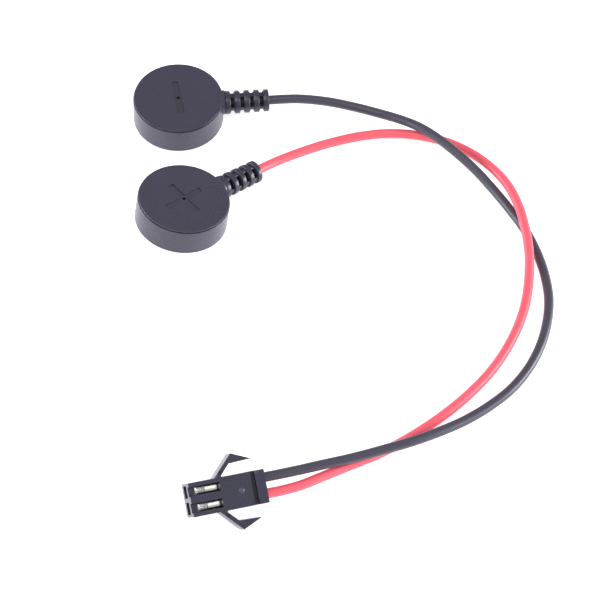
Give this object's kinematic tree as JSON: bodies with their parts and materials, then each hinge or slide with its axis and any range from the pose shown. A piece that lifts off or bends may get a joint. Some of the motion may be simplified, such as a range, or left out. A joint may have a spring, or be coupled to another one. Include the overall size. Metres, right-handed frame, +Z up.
{
  "type": "magnetic contact lead",
  "caption": "Two round magnetic contact pods marked minus and plus, each on a single-core lead with a slotted strain relief, joined in one two-way plug with sprung latch arms.",
  "frame": {"origin": "middle of the two pods' footprint, with their strain reliefs, on the surface that they stand on", "axes": "+Z up from that surface; +Y from the plug's end towards the negative pod, along the longer side of the pods' footprint; +X towards the loop of the leads"},
  "size_m": [0.0721, 0.0909, 0.009],
  "materials": {
    "pod_plastic": "satin moulded, dark slate",
    "relief_plastic": "satin moulded, dark slate",
    "plug_plastic": "satin moulded, near black",
    "black_insulation": "soft extruded plastic with a broad highlight",
    "red_insulation": "soft extruded plastic with a broad highlight",
    "nickel_plate": "bright nickel plate",
    "magnet_plating": "nickel plated",
    "backing_card": "matt fibre card",
    "solder": "satin solder",
    "copper_core": "stranded copper",
    "tin_plate": "bright tin plate over strip metal"
  },
  "bodies": {
    "lead_set": {"negative_cover": "pod_plastic", "negative_strain_relief": "relief_plastic", "negative_contact_plate": "nickel_plate", "negative_magnet": "magnet_plating", "negative_backing_pad": "backing_card", "negative_solder_tag": "tin_plate", "negative_solder_joint": "solder", "black_core_in_pod": "copper_core", "black_lead_in_relief": "black_insulation", "positive_cover": "pod_plastic", "positive_strain_relief": "relief_plastic", "positive_contact_plate": "nickel_plate", "positive_magnet": "magnet_plating", "positive_backing_pad": "backing_card", "positive_solder_tag": "tin_plate", "positive_solder_joint": "solder", "red_core_in_pod": "copper_core", "red_lead_in_relief": "red_insulation", "black_lead": "black_insulation", "red_lead": "red_insulation", "plug_housing": "plug_plastic", "black_crimp_contact": "tin_plate", "black_core_in_plug": "copper_core", "black_lead_in_plug": "black_insulation", "red_crimp_contact": "tin_plate", "red_core_in_plug": "copper_core", "red_lead_in_plug": "red_insulation"},
    "black_side_latch_arm": {"latch_arm_black_side": "plug_plastic"},
    "red_side_latch_arm": {"latch_arm_red_side": "plug_plastic"},
    "black_lance": {"black_locking_lance": "tin_plate"},
    "red_lance": {"red_locking_lance": "tin_plate"},
    "black_spring": {"black_pin_spring": "tin_plate"},
    "red_spring": {"red_pin_spring": "tin_plate"}
  },
  "joints": [
    {"name": "black_side_latch", "type": "hinge", "parent": "lead_set", "child": "black_side_latch_arm", "pos_m": [0.0078, -0.06414, 0.00649], "axis": [-0.2366, 0.4786, -0.8455], "range_deg": [0, 18], "stiffness_Nm_per_rad": 0.01},
    {"name": "red_side_latch", "type": "hinge", "parent": "lead_set", "child": "red_side_latch_arm", "pos_m": [0.00938, -0.06945, 0.00305], "axis": [0.2366, -0.4786, 0.8455], "range_deg": [0, 18], "stiffness_Nm_per_rad": 0.01},
    {"name": "black_lance_press", "type": "hinge", "parent": "lead_set", "child": "black_lance", "pos_m": [0.00585, -0.06634, 0.00523], "axis": [-0.2419, 0.8138, 0.5284], "range_deg": [0, 12], "stiffness_Nm_per_rad": 0.002},
    {"name": "black_spring_press", "type": "hinge", "parent": "lead_set", "child": "black_spring", "pos_m": [0.00682, -0.06518, 0.00388], "axis": [0.2419, -0.8138, -0.5284], "range_deg": [0, 6], "stiffness_Nm_per_rad": 0.002},
    {"name": "red_lance_press", "type": "hinge", "parent": "lead_set", "child": "red_lance", "pos_m": [0.00646, -0.06841, 0.00388], "axis": [-0.2419, 0.8138, 0.5284], "range_deg": [0, 12], "stiffness_Nm_per_rad": 0.002},
    {"name": "red_spring_press", "type": "hinge", "parent": "lead_set", "child": "red_spring", "pos_m": [0.00743, -0.06725, 0.00254], "axis": [0.2419, -0.8138, -0.5284], "range_deg": [0, 6], "stiffness_Nm_per_rad": 0.002}
  ]
}
